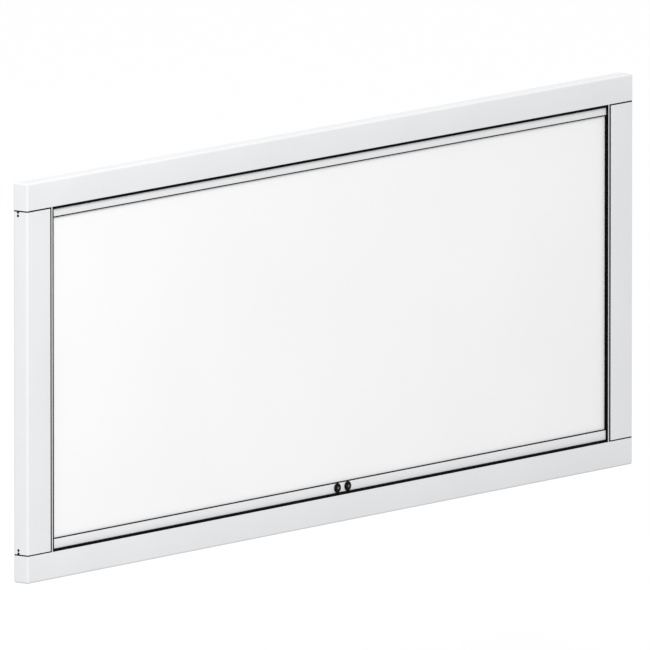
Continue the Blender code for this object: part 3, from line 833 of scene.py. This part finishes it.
def make_grub_screws(steel):
    """Headless screws with hexagon sockets, in the frame's sides and in the rails' backs."""
    length, bevel, socket, socket_depth = 0.009, 0.0004, 0.0015, 0.003
    profile = [(socket, socket_depth), (socket, 0.0), (grub_shank - bevel, 0.0), (grub_shank, bevel),
               (grub_shank, length - bevel), (grub_shank - bevel, length)]
    for level, _ in levels:
        for hand, across in hands:
            for ending, facing in (("_side_screw_1", (across, 0, 0)),
                                   ("_side_screw_2", (across, 0, 0)), ("_back_screw", (0, 1, 0))):
                name = f"{level}_{hand}{ending}"
                head = middle_of(name) + np.array(facing, float) * length / 2
                screw = turned(name + "_m6", profile, head, facing, sides=36, flats=(0, 1))
                complete(screw, steel, "black_steel", name)


def make_pan_screws(zinc):
    """Pan-head screws with hexagon sockets: four in the hangers and two in the brace."""
    radius, height, rim, rim_steps, tip_bevel = 0.0035, 0.0022, 0.0012, 7, 0.0005
    socket, socket_floor, socket_edge = 0.00125, 0.00077, 0.0003
    turn = np.linspace(0, np.pi / 2, rim_steps + 1)
    for name in hanger_screws + ["top_brace_screw", "bottom_brace_screw"]:
        low, high = box_of(name)
        seat = ((low[0] + high[0]) / 2, high[1] - height, (low[2] + high[2]) / 2)
        tip = seat[1] - low[1]
        profile = [(socket, -socket_floor), (socket, -height), (socket + socket_edge, -height)]
        profile += quarter_round(radius, height, rim, turn)
        profile += [(radius, 0.0), (pan_shank, 0.0), (pan_shank, tip - tip_bevel),
                    (pan_shank - tip_bevel, tip)]
        screw = turned(name + "_pan", profile, seat, (0, 1, 0), sides=48, flats=(0, 1))
        complete(screw, zinc, "zinc_steel", name)


def make_brace(metal):
    """The square tube behind the film, with rounded corners and its screw holes."""
    wall, outer_corner, inner_corner, end_chamfer = 0.0012, 0.0016, 0.0006, 0.0003
    half = (brace_high[0] - brace_low[0]) / 2
    front, back = brace_low[1] - front_y, brace_high[1] - front_y
    length = brace_high[2]
    beyond = length + cutter_margin

    def place(points, along):
        return np.stack([points[:, 0], y_of(points[:, 1]), np.full(len(points), along)], 1)

    def square(inset, radius):
        reach, near, far = half - inset, front + inset, back - inset
        return rounded([(-reach, near, radius), (reach, near, radius), (reach, far, radius),
                        (-reach, far, radius)])

    brace = carried("brace_tube", square(0.0, outer_corner), -length, length, place, end_chamfer)
    cuts = [carried("brace_hollow", square(wall, inner_corner), -beyond, beyond, place)]
    for level, _ in levels:
        z = middle_of(level + "_brace_screw")[2]
        cuts.append(drill_from_behind(level + "_tube_hole", pan_hole, 0.0, z, back, back - front))
    complete(carve(brace, cuts), metal, "bare_aluminium", "centre_brace")


def hanger_section():
    """Section (d, z) of a hanger: flat on the rail's back, and its hook down behind the cleat's."""
    t = plate_thickness
    front, back = hanger_low[1] - front_y, hanger_high[1] - front_y
    top, foot = hanger_high[2], hanger_low[2]
    joggle = cleat_high[2] + clearance
    return rounded([
        (front, top, plate_edge), (front + t, top, plate_edge), (front + t, joggle + t, inner_bend),
        (back, joggle + t, outer_bend), (back, foot, plate_edge), (back - t, foot, plate_edge),
        (back - t, joggle, inner_bend), (front, joggle, outer_bend)], plate_steps)


def cleat_section():
    """Section (d, z) of a cleat: its hook up in front of the hanger's, and flat on the wall."""
    t = plate_thickness
    front = cleat_low[1] - front_y
    top, foot = cleat_high[2], cleat_low[2]
    joggle = hanger_low[2] - hook_foot_gap - t
    tight_bend = 0.0002
    return rounded([
        (front, top, plate_edge), (front + t, top, plate_edge), (front + t, joggle + t, inner_bend),
        (wall_depth, joggle + t, inner_bend), (wall_depth, foot, plate_edge),
        (wall_depth - t, foot, plate_edge), (wall_depth - t, joggle, tight_bend),
        (front, joggle, outer_bend)], plate_steps)


def make_hanging(zinc):
    """Hangers on the rail's back and cleats on the wall, bent from plate round real radii."""
    plate_back = hanger_low[1] - front_y + plate_thickness
    hole_height = cleat_low[2] + wall_hole_rise
    end_chamfer = 0.0003
    for hand, _ in hands:
        low, high = box_of(hand + "_hanger")
        hanger = carried(hand + "_hanger_plate", hanger_section(), low[0], high[0], side_profile,
                         end_chamfer)
        cleat = carried(hand + "_cleat_plate", cleat_section(), low[0], high[0], side_profile,
                        end_chamfer)
        hanger_cuts, cleat_cuts = [], []
        for number in (1, 2):
            x, _, z = middle_of(f"{hand}_hanger_screw_{number}")
            hanger_cuts.append(drill_from_behind(f"{hand}_hole_{number}", pan_hole, x, z, plate_back,
                                                 plate_thickness))
            cleat_cuts.append(drill_from_behind(f"{hand}_wall_{number}", wall_hole, x, hole_height,
                                                wall_depth, plate_thickness))
        complete(carve(hanger, hanger_cuts), zinc, "zinc_steel", hand + "_hanger")
        complete(carve(cleat, cleat_cuts), zinc, "zinc_steel", hand + "_wall_cleat")


def make_bumpers(rubber):
    """Rubber discs on the bottom rail's back, with a rounded rim and a shallow dished face. Each row
    of the dish is a share of the disc's radius, and how deep the face lies there."""
    rim, face_ring = 0.0015, 0.0015
    dish = ((0.04, 0.0006), (0.45, 0.0005))
    turn = np.linspace(0, np.pi / 2, arc_steps + 1)
    for hand, _ in hands:
        low, high = box_of(hand + "_bumper")
        radius = (high[0] - low[0]) / 2
        head = ((low[0] + high[0]) / 2, high[1], (low[2] + high[2]) / 2)
        profile = [(radius * share, depth) for share, depth in dish]
        profile += [(radius - rim - face_ring, 0.0)]
        profile += quarter_round(radius, 0.0, rim, turn)
        profile += [(radius, high[1] - low[1])]
        bumper = turned(hand + "_foot", profile, head, (0, 1, 0), sides=64)
        complete(bumper, rubber, "rubber", hand + "_bumper")


def dress_brackets(alloy):
    """The cast brackets inside the corners keep their shape and get their own finish."""
    for level, _ in levels:
        for hand, _ in hands:
            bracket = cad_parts[f"{level}_{hand}_corner_bracket"]
            bracket.data.materials.clear()
            bracket.data.materials.append(alloy)


def make_stage():
    """A pale floor below the hung screen, which looks white to the camera but keeps the shadow, and
    is clear from underneath, so that low views see the screen."""
    z = -half_height - floor_drop
    signs = [(-1, -1), (1, -1), (1, 1), (-1, 1)]
    data = bpy.data.meshes.new("floor")
    data.from_pydata([(floor_reach * x, floor_reach * y, z) for x, y in signs], [], [(0, 1, 2, 3)])
    floor = linked("floor", data)
    material = bpy.data.materials.new("pale_floor")
    material.use_nodes = True
    tree = material.node_tree
    tree.nodes.clear()
    seen = node(tree, "ShaderNodeLightPath")
    diffuse = node(tree, "ShaderNodeBsdfDiffuse", Color=floor_grey)
    glow = node(tree, "ShaderNodeEmission", Color=white, Strength=floor_glow)
    lit = node(tree, "ShaderNodeAddShader", _0=diffuse.outputs[0], _1=glow.outputs[0])
    mix = node(tree, "ShaderNodeMixShader", _0=seen.outputs["Is Camera Ray"], _1=diffuse.outputs[0],
               _2=lit.outputs[0])
    under = node(tree, "ShaderNodeNewGeometry").outputs["Backfacing"]
    clear = node(tree, "ShaderNodeBsdfTransparent")
    shown = node(tree, "ShaderNodeMixShader", _0=under, _1=mix.outputs[0], _2=clear.outputs[0])
    node(tree, "ShaderNodeOutputMaterial", Surface=shown.outputs[0])
    floor.data.materials.append(material)


def make_world():
    """Even studio light, and a white backdrop for the camera, glossy and transmission rays."""
    world = bpy.data.worlds.new("studio")
    bpy.context.scene.world = world
    world.use_nodes = True
    tree = world.node_tree
    tree.nodes.clear()
    path = node(tree, "ShaderNodeLightPath")
    seen = node(tree, "ShaderNodeMath", {"operation": "MAXIMUM"}, _0=path.outputs["Is Camera Ray"],
                _1=path.outputs["Is Transmission Ray"])
    either = node(tree, "ShaderNodeMath", {"operation": "MAXIMUM"}, _0=seen.outputs[0],
                  _1=path.outputs["Is Glossy Ray"])
    level = node(tree, "ShaderNodeMapRange", Value=either.outputs[0], To_Min=world_light, To_Max=1.0)
    light = node(tree, "ShaderNodeBackground", Color=white, Strength=level.outputs[0])
    node(tree, "ShaderNodeOutputWorld", Surface=light.outputs[0])


def make_lamp():
    """One square soft box at the upper left front, turned towards the middle of the screen."""
    lamp = bpy.data.lights.new("key", "AREA")
    lamp.shape = "SQUARE"
    lamp.size = key_size
    lamp.energy = key_power
    key = bpy.data.objects.new("key", lamp)
    key.location = key_place
    key.rotation_euler = (-Vector(key_place)).to_track_quat("-Z", "Y").to_euler()
    bpy.context.scene.collection.objects.link(key)


def make_camera():
    """A very long lens, far away, which draws as near to the parallel projection as a lens can."""
    azimuth, elevation = math.radians(view_azimuth), math.radians(view_elevation)
    back = Vector((math.sin(azimuth) * math.cos(elevation),
                   -math.cos(azimuth) * math.cos(elevation), math.sin(elevation)))
    distance = view_width * view_lens / sensor_width
    data = bpy.data.cameras.new("camera")
    data.lens = view_lens
    data.sensor_width = sensor_width
    data.clip_start = 1.0
    data.clip_end = 200.0
    camera = bpy.data.objects.new("camera", data)
    camera.location = Vector((view_aim[0], front_y, view_aim[1])) + back * distance
    camera.rotation_euler = (-back).to_track_quat("-Z", "Y").to_euler()
    bpy.context.scene.collection.objects.link(camera)
    bpy.context.scene.camera = camera


def dress():
    """Every piece of the screen, each in its own finish."""
    paint = powder_coat("powder_coated_aluminium", "#e9eaec", "#ecedef")
    strip_paint = powder_coat("powder_coated_strip", "#ebecee", "#eeeff0")
    plastic = extruded_plastic("satin_bead_plastic", "#d6d7d8", "#dddede")
    rubber = black_rubber("black_rubber")
    steel = black_oxide("black_oxide_steel")
    zinc = zinc_plate("bright_zinc_steel")
    make_rails(paint)
    make_stiles(paint, joint_sealant("black_joint_sealant"))
    make_end_caps(paint)
    make_strips(strip_paint)
    make_rail_trim(rubber)
    make_stile_trim(rubber, plastic)
    make_film(projection_film("matt_white_film"), film_backing("dark_film_backing"))
    # The screws' sockets get bright steel as a painted highlight
    make_strip_screws(steel, socket_highlight_steel("painted_highlight_socket_steel"), zinc)
    make_grub_screws(steel)
    make_pan_screws(zinc)
    make_brace(mill_aluminium("mill_aluminium"))
    make_hanging(zinc)
    make_bumpers(rubber)
    dress_brackets(cast_alloy("cast_bracket_alloy"))


dress()
make_stage()
make_world()
make_lamp()
make_camera()
bpy.context.scene.view_settings.view_transform = "Standard"
